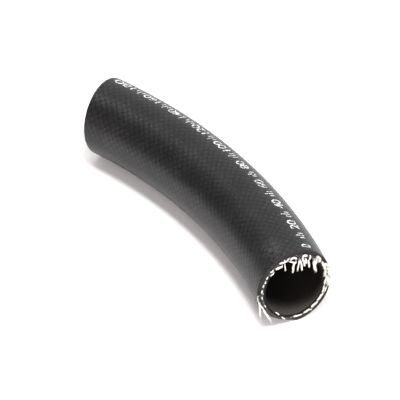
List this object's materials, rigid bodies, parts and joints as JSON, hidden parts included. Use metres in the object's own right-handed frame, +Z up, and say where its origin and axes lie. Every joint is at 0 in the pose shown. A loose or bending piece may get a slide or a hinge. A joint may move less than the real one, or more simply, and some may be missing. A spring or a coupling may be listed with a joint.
{
  "type": "rubber hose",
  "caption": "Short bent length of braid-reinforced black rubber hose, cut at both ends, with cream yarn fraying out of the cuts.",
  "frame": {"origin": "on the floor, under the middle of the hose's box as it lies on its side", "axes": "+X along the chord of the bend, towards the near cut with the loose yarns; +Y to the outside of the bend; +Z up"},
  "size_m": [0.2116, 0.0656, 0.0485],
  "materials": {
    "tube_rubber": "smooth, slightly glossy black rubber",
    "braid_yarn": "cream-white twisted yarn, frayed at the cuts",
    "cover_rubber": "satin black rubber with the braid's fine diamond relief and a white scale printed along it"
  },
  "bodies": {
    "root": {"inner_tube": "tube_rubber", "reinforcement_braid": "braid_yarn", "outer_cover": "cover_rubber"}
  },
  "joints": []
}
